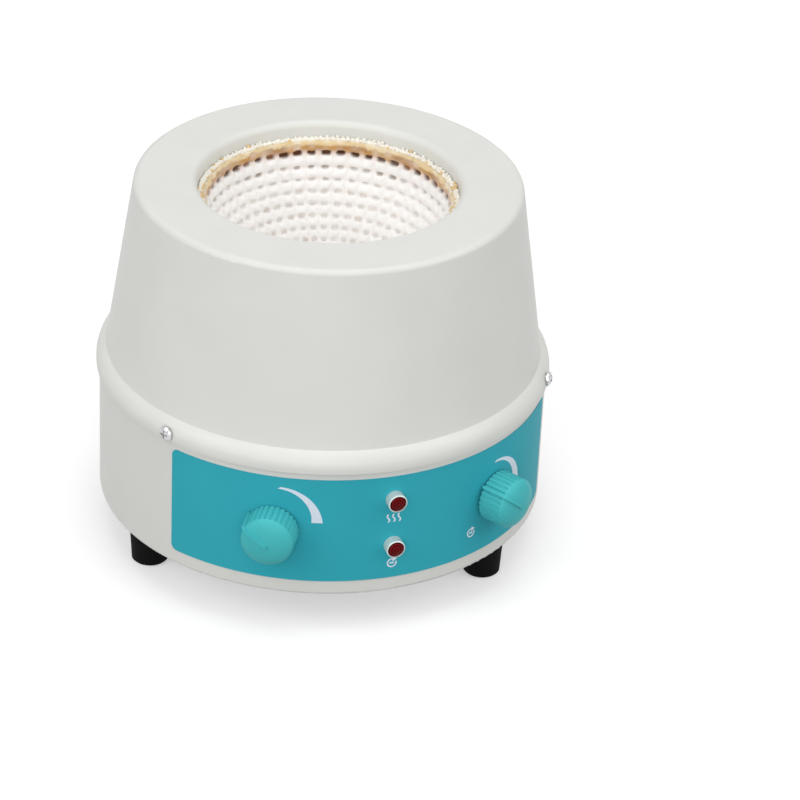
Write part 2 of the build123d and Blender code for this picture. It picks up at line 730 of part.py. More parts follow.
for name, seat in control_seats.items():
    skirt_mean = (knob_base_radius + knob_face_radius) / 2
    skirt_middle = (knob_base + knob_edge_height) / 2
    skirt_slope = Vector(knob_face_radius - knob_base_radius, 0, knob_edge_height - knob_base)
    grooves = []
    for rib in range(rib_count):
        rib_turn = radians(pointer_angles[name] + 360 * (rib + 0.5) / rib_count)
        rib_out = seat.x_dir * cos(rib_turn) + seat.y_dir * sin(rib_turn)
        groove_axis = rib_out * skirt_slope.X + seat.z_dir * skirt_slope.Z
        groove_place = seat.origin + rib_out * skirt_mean + seat.z_dir * skirt_middle
        grooves.append(Plane(origin=groove_place, x_dir=seat.z_dir.cross(rib_out), z_dir=groove_axis))

    with BuildPart() as knob:
        with BuildSketch(Plane(origin=seat.origin, x_dir=seat.x_dir, z_dir=seat.y_dir * -1)):
            with BuildLine():
                Polyline(
                    (0, knob_top), (0, knob_base), (knob_base_radius, knob_base),
                    (knob_face_radius, knob_edge_height),
                )
                EllipticalCenterArc(
                    (0, knob_edge_height),
                    knob_face_radius,
                    knob_dome_height,
                    start_angle=0,
                    arc_size=90,
                )
            make_face()
        revolve(axis=turning(seat))
        with Locations(*grooves):
            Cylinder(groove_radius, 1.1 * (knob_edge_height - knob_base), mode=Mode.SUBTRACT)
        revolve(
            section(
                seat,
                (0, 0),
                (knob_cavity_radius, 0),
                (knob_cavity_radius, knob_cavity_top),
                (boss_radius, knob_cavity_top),
                (boss_radius, boss_bottom),
                (shaft_radius + contact_gap, boss_bottom),
                (shaft_radius + contact_gap, shaft_top + slip_gap),
                (0, shaft_top + slip_gap),
            ),
            axis=turning(seat),
            mode=Mode.SUBTRACT,
        )
        pointer_turn = radians(pointer_angles[name])
        pointer_out = seat.x_dir * cos(pointer_turn) + seat.y_dir * sin(pointer_turn)
        pointer_plane = Plane(origin=seat.origin, x_dir=pointer_out, z_dir=pointer_out.cross(seat.z_dir))
        with BuildSketch(pointer_plane):
            with BuildLine():
                EllipticalCenterArc(
                    (0, knob_edge_height),
                    knob_face_radius + pointer_proud,
                    knob_dome_height + pointer_proud,
                    start_angle=0,
                    arc_size=90,
                )
                Polyline(
                    (knob_face_radius + pointer_proud, knob_edge_height),
                    (knob_base_radius + pointer_proud, knob_base),
                    (knob_base_radius - knob_wall / 2, knob_base),
                    (knob_face_radius - knob_wall / 2, knob_edge_height - knob_roof / 2),
                    (0, knob_top - knob_roof / 2),
                    (0, knob_top + pointer_proud),
                )
            make_face()
        extrude(amount=pointer_width / 2, both=True)
        with BuildSketch(seat.offset(knob_top - knob_roof / 2)):
            Circle(pointer_width / 2)
        extrude(amount=knob_roof / 2 + pointer_proud)
    keep(knob, f"{name}_knob")

    with BuildPart() as pot_shaft:
        with BuildSketch(seat.offset(shaft_end)):
            Circle(shaft_radius)
        extrude(amount=shaft_top - shaft_end)
        with BuildSketch(seat.offset(shaft_top)):
            with Locations((0, shaft_radius)):
                Rectangle(2 * shaft_radius, shaft_radius / 2)
        extrude(amount=boss_bottom - shaft_top, mode=Mode.SUBTRACT)
    keep(pot_shaft, f"{name}_control_shaft")

    with BuildPart() as pot:
        revolve(
            section(
                seat,
                (shaft_radius + running_gap, bush_length),
                (bush_radius, bush_length),
                (bush_radius, pot_front),
                (pot_radius, pot_front),
                (pot_radius, pot_front - pot_depth),
                (0, pot_front - pot_depth),
                (0, pot_front - pot_bore_depth),
                (shaft_radius + running_gap, pot_front - pot_bore_depth),
            ),
            axis=turning(seat),
        )
        with BuildSketch(seat.offset(pot_front - pot_depth)):
            with Locations((0, -pot_radius)):
                with GridLocations(pot_tab_pitch, 0, 3, 1):
                    Rectangle(pot_tab_width, pot_tab_length)
        extrude(amount=pot_tab_thickness)
    keep(pot, f"{name}_control")

    nut_seat = seat.offset(panel_face + contact_gap)
    bush_nut = hexagon_nut(nut_seat, bush_nut_flats, bush_nut_height, bush_radius + contact_gap)
    keep_set([bush_nut], f"{name}_control_nut")

# ---- Indicator lamps ----
lamp_nut_face = sqrt(drum_inner_radius**2 - (lamp_nut_flats / 2) ** 2) - drum_radius - slip_gap
for name, seat in lamp_seats.items():
    with BuildPart() as bezel:
        revolve(
            section(
                seat,
                (lamp_tube_bore, -lamp_tube_length),
                (lamp_tube_radius, -lamp_tube_length),
                (lamp_tube_radius, panel_face + contact_gap),
                (bezel_radius, panel_face + contact_gap),
                (bezel_radius, bezel_height - bezel_edge),
                (bezel_radius - bezel_edge, bezel_height),
                (lens_radius + contact_gap, bezel_height),
                (lens_radius + contact_gap, bezel_floor),
                (lamp_tube_bore, bezel_floor),
            ),
            axis=turning(seat),
        )
    keep(bezel, f"{name}_lamp_bezel")

    lens_base = bezel_floor + contact_gap
    lens_rim = bezel_height - lens_sink
    with BuildPart() as lens:
        with BuildSketch(Plane(origin=seat.origin, x_dir=seat.x_dir, z_dir=seat.y_dir * -1)):
            with BuildLine():
                Polyline(
                    (0, lens_dome_height), (0, lens_base), (lens_radius, lens_base),
                    (lens_radius, lens_rim),
                )
                ThreePointArc(
                    (lens_radius, lens_rim),
                    cap_middle(lens_radius, lens_rim, lens_dome_height - lens_rim),
                    (0, lens_dome_height),
                )
            make_face()
        revolve(axis=turning(seat))
    keep(lens, f"{name}_lamp_lens")

lamp_nuts = [
    hexagon_nut(
        seat.offset(lamp_nut_face - lamp_nut_height),
        lamp_nut_flats,
        lamp_nut_height,
        lamp_tube_radius + contact_gap,
    )
    for seat in lamp_seats.values()
]
keep_set(lamp_nuts, "lamp_nuts")

# ---- Circuit board on four standoffs behind the motor, with its parts ----
board_plane = Plane(origin=(0, board_middle_y, board_bottom))
board_length = 2 * board_margin + core_size[0] + part_gap + sink_length
board_hole_x = board_length - 2 * board_hole_inset
board_hole_y = board_width - 2 * board_hole_inset
part_base = board_top + contact_gap
transformer_x = board_margin + (core_size[0] - board_length) / 2
sink_x = (board_length - sink_length) / 2 - board_margin
terminal_x = (board_hole_x - terminal_pitch * terminal_count) / 2 - m3_head_radius - head_gap
with BuildPart() as circuit_board:
    with BuildSketch(board_plane):
        RectangleRounded(board_length, board_width, board_corner)
        with GridLocations(board_hole_x, board_hole_y, 2, 2):
            Circle(m3_radius + slip_gap, mode=Mode.SUBTRACT)
    extrude(amount=board_thickness)
keep(circuit_board, "circuit_board")

with BuildPart() as board_standoffs:
    with BuildSketch(board_plane.offset(-board_lift + contact_gap)):
        with GridLocations(board_hole_x, board_hole_y, 2, 2):
            Circle(board_standoff_radius)
            Circle(m3_radius + contact_gap, mode=Mode.SUBTRACT)
    extrude(amount=board_lift - 2 * contact_gap)
keep(board_standoffs, "board_standoffs")

board_screw_length = board_thickness + board_lift / 2
board_screws = []
for place in GridLocations(board_hole_x, board_hole_y, 2, 2).local_locations:
    seat = Plane(origin=(place.position.X, place.position.Y + board_middle_y, part_base))
    board_screws.append(pan_screw(seat, m3_head_radius, m3_head_height, m3_radius, board_screw_length))
keep_set(board_screws, "board_screws")

sink_y = board_front_y + sink_inset
with BuildPart() as heat_sink:
    with BuildSketch(Plane(origin=(sink_x, sink_y, part_base))):
        Rectangle(sink_length, sink_depth)
        with Locations((0, sink_depth / 4)):
            with GridLocations(sink_length / fin_count, 0, fin_count, 1):
                Rectangle(fin_gap, sink_depth * fin_share, mode=Mode.SUBTRACT)
    extrude(amount=sink_height)
keep(heat_sink, "heat_sink")

triac_y = sink_y - sink_depth / 2 - triac_size[1] / 2 - contact_gap
with BuildPart() as triacs:
    with BuildSketch(Plane(origin=(sink_x, triac_y, part_base))):
        with GridLocations(sink_length / 2, 0, 2, 1):
            Rectangle(triac_size[0], triac_size[1])
    extrude(amount=triac_size[2])
keep(triacs, "triacs")

transformer_place = Plane(origin=(transformer_x, board_middle_y, part_base))
with BuildPart() as transformer:
    with BuildSketch(transformer_place):
        Rectangle(core_size[0], core_size[1])
    extrude(amount=core_size[2])
    with BuildSketch(transformer_place.offset((core_size[2] - coil_size[2]) / 2)):
        RectangleRounded(coil_size[0], coil_size[1], coil_corner)
    extrude(amount=coil_size[2])
keep(transformer, "transformer")

terminal_place = Plane(origin=(terminal_x, board_front_y + board_width - terminal_inset, part_base))
with BuildPart() as terminal_block:
    with BuildSketch(terminal_place):
        Rectangle(terminal_pitch * terminal_count, terminal_depth)
    extrude(amount=terminal_height)
    with BuildSketch(terminal_place.offset(terminal_height)):
        with GridLocations(terminal_pitch, 0, terminal_count, 1):
            Circle(terminal_screw_radius)
    extrude(amount=-terminal_screw_depth, mode=Mode.SUBTRACT)
keep(terminal_block, "terminal_block")

# ---- Mains inlet: snaps into the back of the drum, its rim shaped to the drum's curve ----
inlet_face = facing(180, drum_radius, inlet_height)
pin_places = ((-pin_spacing / 2, -pin_offset), (pin_spacing / 2, -pin_offset), (0, pin_offset))
socket_floor = inlet_bezel_height - socket_depth
with BuildPart() as mains_inlet:
    with BuildSketch(inlet_face.offset(-inlet_bezel_height)):
        RectangleRounded(inlet_bezel[0], inlet_bezel[1], inlet_bezel_corner)
    extrude(amount=2 * inlet_bezel_height)
    fillet(mains_inlet.faces().sort_by(Axis.Y)[-1].edges(), radius=inlet_bezel_height / 4)
    with BuildSketch(Plane.XY.offset(drum_bottom)):
        Circle(drum_radius + contact_gap)
    extrude(amount=2 * inlet_rise, mode=Mode.SUBTRACT)
    with BuildSketch(inlet_face.offset(-inlet_body_depth)):
        Rectangle(inlet_body[0], inlet_body[1])
    extrude(amount=inlet_body_depth + inlet_bezel_height / 2)
    with BuildSketch(inlet_face.offset(inlet_bezel_height)) as socket_outline:
        Rectangle(socket_opening[0], socket_opening[1])
        chamfer(socket_outline.vertices().group_by(Axis.Y)[-1], length=socket_corner)
    extrude(amount=-socket_depth, mode=Mode.SUBTRACT)
    with BuildSketch(inlet_face):
        with Locations(*pin_places):
            Rectangle(pin_width + 2 * contact_gap, pin_height + 2 * contact_gap)
    extrude(amount=-inlet_body_depth, mode=Mode.SUBTRACT)
keep(mains_inlet, "mains_inlet")

pin_end = -(inlet_body_depth + pin_tail)
with BuildPart() as inlet_pins:
    with BuildSketch(inlet_face.offset(pin_end)):
        with Locations(*pin_places):
            Rectangle(pin_width, pin_height)
    extrude(amount=socket_floor + pin_length - pin_end)
keep(inlet_pins, "inlet_pins")
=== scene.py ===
"""Looks of a bench heating mantle with a magnetic stirrer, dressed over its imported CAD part."""

import math
import random

import bpy
import numpy as np
from mathutils import Matrix, Vector


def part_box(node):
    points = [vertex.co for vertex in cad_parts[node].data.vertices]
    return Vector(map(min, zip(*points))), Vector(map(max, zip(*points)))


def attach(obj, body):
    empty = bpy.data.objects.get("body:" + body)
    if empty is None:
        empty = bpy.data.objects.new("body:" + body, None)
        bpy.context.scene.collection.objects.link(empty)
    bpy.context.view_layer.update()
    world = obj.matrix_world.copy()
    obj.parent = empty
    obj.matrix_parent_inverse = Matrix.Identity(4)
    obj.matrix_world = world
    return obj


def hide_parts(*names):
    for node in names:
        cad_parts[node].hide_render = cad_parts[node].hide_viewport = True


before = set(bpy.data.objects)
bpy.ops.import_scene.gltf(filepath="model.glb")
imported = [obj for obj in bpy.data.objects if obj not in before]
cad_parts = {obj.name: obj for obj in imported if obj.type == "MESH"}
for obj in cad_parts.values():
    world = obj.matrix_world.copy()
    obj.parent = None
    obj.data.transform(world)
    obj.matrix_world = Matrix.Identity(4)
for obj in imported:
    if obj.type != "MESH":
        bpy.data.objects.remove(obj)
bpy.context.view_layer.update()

MM = 0.001
random.seed(7)
scene = bpy.context.scene
scene.view_settings.view_transform = "Standard"

# ---- Camera: the photograph's view ----
FRAME_SIDE = 800.0  # pixels
FOCAL_LENGTH = 3465.6  # pixels
SENSOR_WIDTH = 36.0
VIEW_AZIMUTH = -19.5
VIEW_ELEVATION = 28.87
VIEW_DISTANCE = 1.5468
VIEW_ROLL = 2.01
VIEW_TARGET = Vector((0, 0, 0.100))
TARGET_PIXEL = (324.5, 321.4)


def outward(azimuth, elevation):
    """Unit vector that points away from the object; azimuth 0 is the panel's side."""
    level = math.cos(elevation)
    return Vector((math.sin(azimuth) * level, -math.cos(azimuth) * level, math.sin(elevation)))


def make_camera():
    """Camera that sees the target at its pixel, by turning and not by shift."""
    azimuth, elevation = math.radians(VIEW_AZIMUTH), math.radians(VIEW_ELEVATION)
    back = outward(azimuth, elevation)
    right = Vector((math.cos(azimuth), math.sin(azimuth), 0))
    up = back.cross(right)
    level = Matrix((right, up, back)).transposed()
    rolled = level @ Matrix.Rotation(math.radians(VIEW_ROLL), 3, "Z")
    offset = Vector(
        (
            (TARGET_PIXEL[0] - FRAME_SIDE / 2) / FOCAL_LENGTH,
            (FRAME_SIDE / 2 - TARGET_PIXEL[1]) / FOCAL_LENGTH,
            -1,
        )
    )
    aim = offset.rotation_difference(Vector((0, 0, -1))).to_matrix()
    data = bpy.data.cameras.new("camera")
    data.sensor_width = SENSOR_WIDTH
    data.lens = FOCAL_LENGTH * SENSOR_WIDTH / FRAME_SIDE
    data.clip_start, data.clip_end = 0.05, 50
    camera = bpy.data.objects.new("camera", data)
    camera.matrix_world = (rolled @ aim).to_4x4()
    camera.location = VIEW_TARGET + back * VIEW_DISTANCE
    scene.collection.objects.link(camera)
    scene.camera = camera


make_camera()


# ---- Materials ----
def new_material(name, colour, roughness, metallic=0.0, **sockets):
    """Principled material with an even colour; returns the material."""
    made = bpy.data.materials.new(name)
    made.use_nodes = True
    tree = made.node_tree
    shader = tree.nodes["Principled BSDF"]
    shader.inputs["Base Color"].default_value = (*colour, 1)
    shader.inputs["Roughness"].default_value = roughness
    shader.inputs["Metallic"].default_value = metallic
    for socket, value in sockets.items():
        shader.inputs[socket.replace("_", " ")].default_value = value
    return made


def noise_node(tree, scale, detail=3.0):
    """Noise over the piece's own coordinates, in features per metre."""
    place = tree.nodes.new("ShaderNodeTexCoord")
    grain = tree.nodes.new("ShaderNodeTexNoise")
    grain.inputs["Scale"].default_value = scale
    grain.inputs["Detail"].default_value = detail
    tree.links.new(place.outputs["Object"], grain.inputs["Vector"])
    return grain.outputs["Fac"]


def add_grain(made, scale, depth, strength=1.0, detail=3.0):
    """Fine relief of a depth in metres."""
    tree = made.node_tree
    bump = tree.nodes.new("ShaderNodeBump")
    bump.inputs["Distance"].default_value = depth
    bump.inputs["Strength"].default_value = strength
    tree.links.new(noise_node(tree, scale, detail), bump.inputs["Height"])
    tree.links.new(bump.outputs["Normal"], tree.nodes["Principled BSDF"].inputs["Normal"])


def add_mottle(made, colour, other, scale, low=0.35, high=0.65):
    """Base colour that drifts between two colours."""
    tree = made.node_tree
    ramp = tree.nodes.new("ShaderNodeValToRGB")
    ramp.color_ramp.elements[0].position = low
    ramp.color_ramp.elements[0].color = (*colour, 1)
    ramp.color_ramp.elements[1].position = high
    ramp.color_ramp.elements[1].color = (*other, 1)
    tree.links.new(noise_node(tree, scale), ramp.inputs["Fac"])
    tree.links.new(ramp.outputs["Color"], tree.nodes["Principled BSDF"].inputs["Base Color"])


shell_paint = new_material("shell_paint", (0.73, 0.735, 0.70), 0.42)
add_mottle(shell_paint, (0.725, 0.73, 0.695), (0.745, 0.75, 0.715), 35)
add_grain(shell_paint, 900, 0.00004, 0.35)

panel_film = new_material("panel_film", (0.038, 0.425, 0.515), 0.5, Specular_IOR_Level=0.08)
add_mottle(panel_film, (0.036, 0.416, 0.505), (0.041, 0.434, 0.525), 25)
add_grain(panel_film, 1500, 0.00002, 0.2)

print_ink = new_material("print_ink", (0.74, 0.82, 0.93), 0.45)
add_mottle(print_ink, (0.72, 0.80, 0.92), (0.77, 0.84, 0.94), 300)

knob_plastic = new_material("knob_plastic", (0.075, 0.51, 0.54), 0.42, Specular_IOR_Level=0.08)
add_mottle(knob_plastic, (0.070, 0.50, 0.53), (0.080, 0.525, 0.555), 60)
add_grain(knob_plastic, 1800, 0.00003, 0.3)

bezel_plate = new_material("bezel_plate", (0.70, 0.74, 0.72), 0.38, 0.35)
add_grain(bezel_plate, 900, 0.00001, 0.25)

bright_steel = new_material("bright_steel", (0.56, 0.56, 0.57), 0.18, 1.0)
add_grain(bright_steel, 700, 0.00002, 0.3)

plain_steel = new_material("plain_steel", (0.56, 0.57, 0.58), 0.38, 1.0)
add_mottle(plain_steel, (0.50, 0.51, 0.52), (0.62, 0.63, 0.64), 120)

foot_rubber = new_material("foot_rubber", (0.004, 0.004, 0.0045), 0.8, Specular_IOR_Level=0.1)
add_grain(foot_rubber, 1200, 0.00005, 0.5)

black_moulding = new_material("black_moulding", (0.020, 0.020, 0.022), 0.45)
add_grain(black_moulding, 2200, 0.00003, 0.5)

cream_nylon = new_material("cream_nylon", (0.60, 0.57, 0.50), 0.5)
add_mottle(cream_nylon, (0.58, 0.55, 0.48), (0.62, 0.59, 0.52), 90)

board_laminate = new_material("board_laminate", (0.02, 0.14, 0.06), 0.4)
add_mottle(board_laminate, (0.018, 0.12, 0.05), (0.025, 0.16, 0.07), 200)

terminal_green = new_material("terminal_green", (0.04, 0.28, 0.14), 0.4)
add_grain(terminal_green, 1500, 0.00002, 0.3)

mill_aluminium = new_material("mill_aluminium", (0.75, 0.76, 0.77), 0.35, 1.0)
add_mottle(mill_aluminium, (0.70, 0.71, 0.72), (0.80, 0.81, 0.82), 80)

pin_metal = new_material("pin_metal", (0.74, 0.70, 0.60), 0.25, 1.0)
add_grain(pin_metal, 900, 0.00001, 0.3)

fibre_block = new_material("fibre_block", (0.76, 0.74, 0.69), 0.95)
add_grain(fibre_block, 400, 0.0004, 0.6)


LENS_RING_PITCH = 1.15 * MM


def make_lens_red():
    """Dark red lens with rings of painted highlight and shade for its moulded rings, round the axis of its
    lamp, which looks along -Y.
    """
    made = new_material("lens_red", (0.10, 0.003, 0.006), 0.22, Specular_IOR_Level=0.05)
    tree = made.node_tree
    centres = [(low + high) / 2 for low, high in (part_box("heat_lamp_lens"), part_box("stir_lamp_lens"))]
    place = tree.nodes.new("ShaderNodeTexCoord")
    split = tree.nodes.new("ShaderNodeSeparateXYZ")
    tree.links.new(place.outputs["Object"], split.inputs["Vector"])

    def math_node(operation, *values):
        node = tree.nodes.new("ShaderNodeMath")
        node.operation = operation
        for socket, value in zip(node.inputs, values):
            if isinstance(value, (int, float)):
                socket.default_value = value
            else:
                tree.links.new(value, socket)
        return node.outputs[0]

    across = math_node("SUBTRACT", split.outputs["X"], centres[0].x)
    upward = math_node(
        "MINIMUM", *[math_node("ABSOLUTE", math_node("SUBTRACT", split.outputs["Z"], c.z)) for c in centres]
    )
    squares = [math_node("MULTIPLY", side, side) for side in (across, upward)]
    radius = math_node("SQRT", math_node("ADD", *squares))
    # the moulded rings are painted: light reds as painted highlight, dark reds as painted shade
    rings = math_node("SINE", math_node("MULTIPLY", radius, 2 * math.pi / LENS_RING_PITCH))
    ramp = tree.nodes.new("ShaderNodeValToRGB")
    ramp.color_ramp.elements[0].position = 0.25
    # painted shade of the dark rings
    ramp.color_ramp.elements[0].color = (0.055, 0.001, 0.001, 1)
    ramp.color_ramp.elements[1].position = 0.9
    # painted highlight of the bright rings
    ramp.color_ramp.elements[1].color = (0.22, 0.006, 0.008, 1)
    tree.links.new(math_node("MULTIPLY_ADD", rings, 0.5, 0.5), ramp.inputs["Fac"])
    tree.links.new(ramp.outputs["Color"], tree.nodes["Principled BSDF"].inputs["Base Color"])
    return made


lens_red = make_lens_red()

LOOKS = {
    "upper_shell": shell_paint,
    "base_drum": shell_paint,
    "control_panel": panel_film,
    "heat_knob": knob_plastic,
    "stir_knob": knob_plastic,
    "heat_lamp_bezel": bezel_plate,
    "stir_lamp_bezel": bezel_plate,
    "heat_lamp_lens": lens_red,
    "stir_lamp_lens": lens_red,
    "rim_screws": bright_steel,
    "foot_screws": bright_steel,
    "plate_screws": bright_steel,
    "post_screws": bright_steel,
    "standoff_screws": bright_steel,
    "motor_screws": bright_steel,
    "board_screws": bright_steel,
    "stirring_magnets": bright_steel,
    "left_foot": foot_rubber,
    "right_foot": foot_rubber,
    "rear_foot": foot_rubber,
    "mains_inlet": black_moulding,
    "heat_control": black_moulding,
    "stir_control": black_moulding,
    "triacs": black_moulding,
    "stirring_motor": black_moulding,
    "transformer": black_moulding,
    "inlet_pins": pin_metal,
    "insulation_bowl": fibre_block,
    "inner_cup": mill_aluminium,
    "heat_sink": mill_aluminium,
    "magnet_carrier": cream_nylon,
    "board_standoffs": cream_nylon,
    "circuit_board": board_laminate,
    "terminal_block": terminal_green,
}
for node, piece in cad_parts.items():
    piece.data.materials.clear()
    piece.data.materials.append(LOOKS.get(node, plain_steel))


def mesh_piece(name, points, faces, look, smooth=True):
    """New mesh object from its points, in metres, and faces."""
    data = bpy.data.meshes.new(name)
    data.from_pydata([tuple(p) for p in points], [], [tuple(int(i) for i in f) for f in faces])
    data.polygons.foreach_set("use_smooth", [smooth] * len(data.polygons))
    data.materials.append(look)
    piece = bpy.data.objects.new(name, data)
    scene.collection.objects.link(piece)
    return piece


# ---- Woven heater ----
cloth_low, cloth_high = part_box("woven_heater")
BOWL_CENTRE = cloth_high.z
CLOTH_BACK = cloth_high.x - 0.05 * MM
VALLEY_RADIUS = cloth_high.x - 1.8 * MM
COLUMNS = 52
WEAVE_SEED = 11
CLOTH_WHITE = (0.98, 0.975, 0.965)
UPPER_ROWS = [6.4, 13.2, 19.0]  # arcs below the rim, mm
LOWER_ROWS = 11
ROW_PITCH = 5.6
HOLE_ROWS = UPPER_ROWS + [round(UPPER_ROWS[-1] + ROW_PITCH * (k + 1), 1) for k in range(LOWER_ROWS)]
FIRST_EDGE, LAST_EDGE = -1.2, 86.7  # where the first and the last ridge end
NOISE_BAND = 5.7  # mm of arc to a step of the noise
RIDGE_HEIGHT = 1.15
PILLOW_HEIGHT = 0.75
RIB_HEIGHT = 0.75
HOLE_DEPTH = 1.5
CORD_ARC, CORD_HEIGHT = 3.9, 0.8  # the amber cord over the first row of holes
# Half width and half height of the holes in mm, and how deep they are and how dark their painted shade is,
# row by row
HOLE_SHAPES = [(2.35, 1.35, 1.0), (1.65, 0.90, 0.52), (1.45, 0.75, 0.34), (1.80, 1.20, 0.24)]
# Colours of the painted shade in the holes, row by row
HOLE_SHADE_TONES = [(0.14, 0.050, 0.014), (0.30, 0.22, 0.15), (0.44, 0.37, 0.30), (0.60, 0.53, 0.46)]
UNDER_RIDGE_SHADE = (0.85, 0.77, 0.70)  # painted shade under each ridge
RIB_VALLEY_SHADE = (0.86, 0.72, 0.62)  # painted shade on the ribs between the holes, down in the valleys
PILLOW_CREASE_SHADE = (0.89, 0.86, 0.82)  # painted shade in the creases between the pillows of a ridge
AMBER_TINT = (0.58, 0.31, 0.085)  # the cord over the first row
SCORCH_TINT = (0.34, 0.15, 0.05)
EDGE_TINT = (0.80, 0.62, 0.34)  # the cloth's upper edge
FIRST_RIB_TINT = (0.80, 0.56, 0.44)
TAN_HOLE = (0.50, 0.26, 0.13)
PATCH_TINT = (0.48, 0.30, 0.20)
BACK_TINT = 0.7
POLE_TINT = (0.85, 0.83, 0.80)
STAIN_CENTRE = math.radians(160.5)  # azimuth of the darkest scorching


def smooth_noise(noise, rows, columns, down, around):
    """Random values on a grid that repeats around, read smoothly at (down, around) in grid units."""
    values = noise.uniform(-1, 1, (rows, columns))
    i, j = np.floor(down).astype(int), np.floor(around).astype(int)
    a, b = down - i, around - j
    a, b = a * a * (3 - 2 * a), b * b * (3 - 2 * b)
    i0, i1 = np.clip(i, 0, rows - 1), np.clip(i + 1, 0, rows - 1)
    j0, j1 = j % columns, (j + 1) % columns
    top = values[i0, j0] * (1 - b) + values[i0, j1] * b
    low = values[i1, j0] * (1 - b) + values[i1, j1] * b
    return top * (1 - a) + low * a


def columns_in(row):
    """Number of columns in a row: halved twice towards the bottom, where the rows are short."""
    radius = math.cos(HOLE_ROWS[min(row, len(HOLE_ROWS) - 1)] * MM / VALLEY_RADIUS)
    return COLUMNS if radius > 0.58 else COLUMNS // 2 if radius > 0.27 else COLUMNS // 4


def fade(value, low, high):
    """0 below low and 1 above high, with a smooth ramp between."""
    share = np.clip((value - low) / (high - low), 0, 1)
    return share * share * (3 - 2 * share)


def per_hole(noise, row, column, low, high):
    """One random value for each hole."""
    values = noise.uniform(low, high, (len(HOLE_ROWS) + 2, COLUMNS))
    return values[np.clip(row, 0, len(values) - 1), column.astype(int) % COLUMNS]


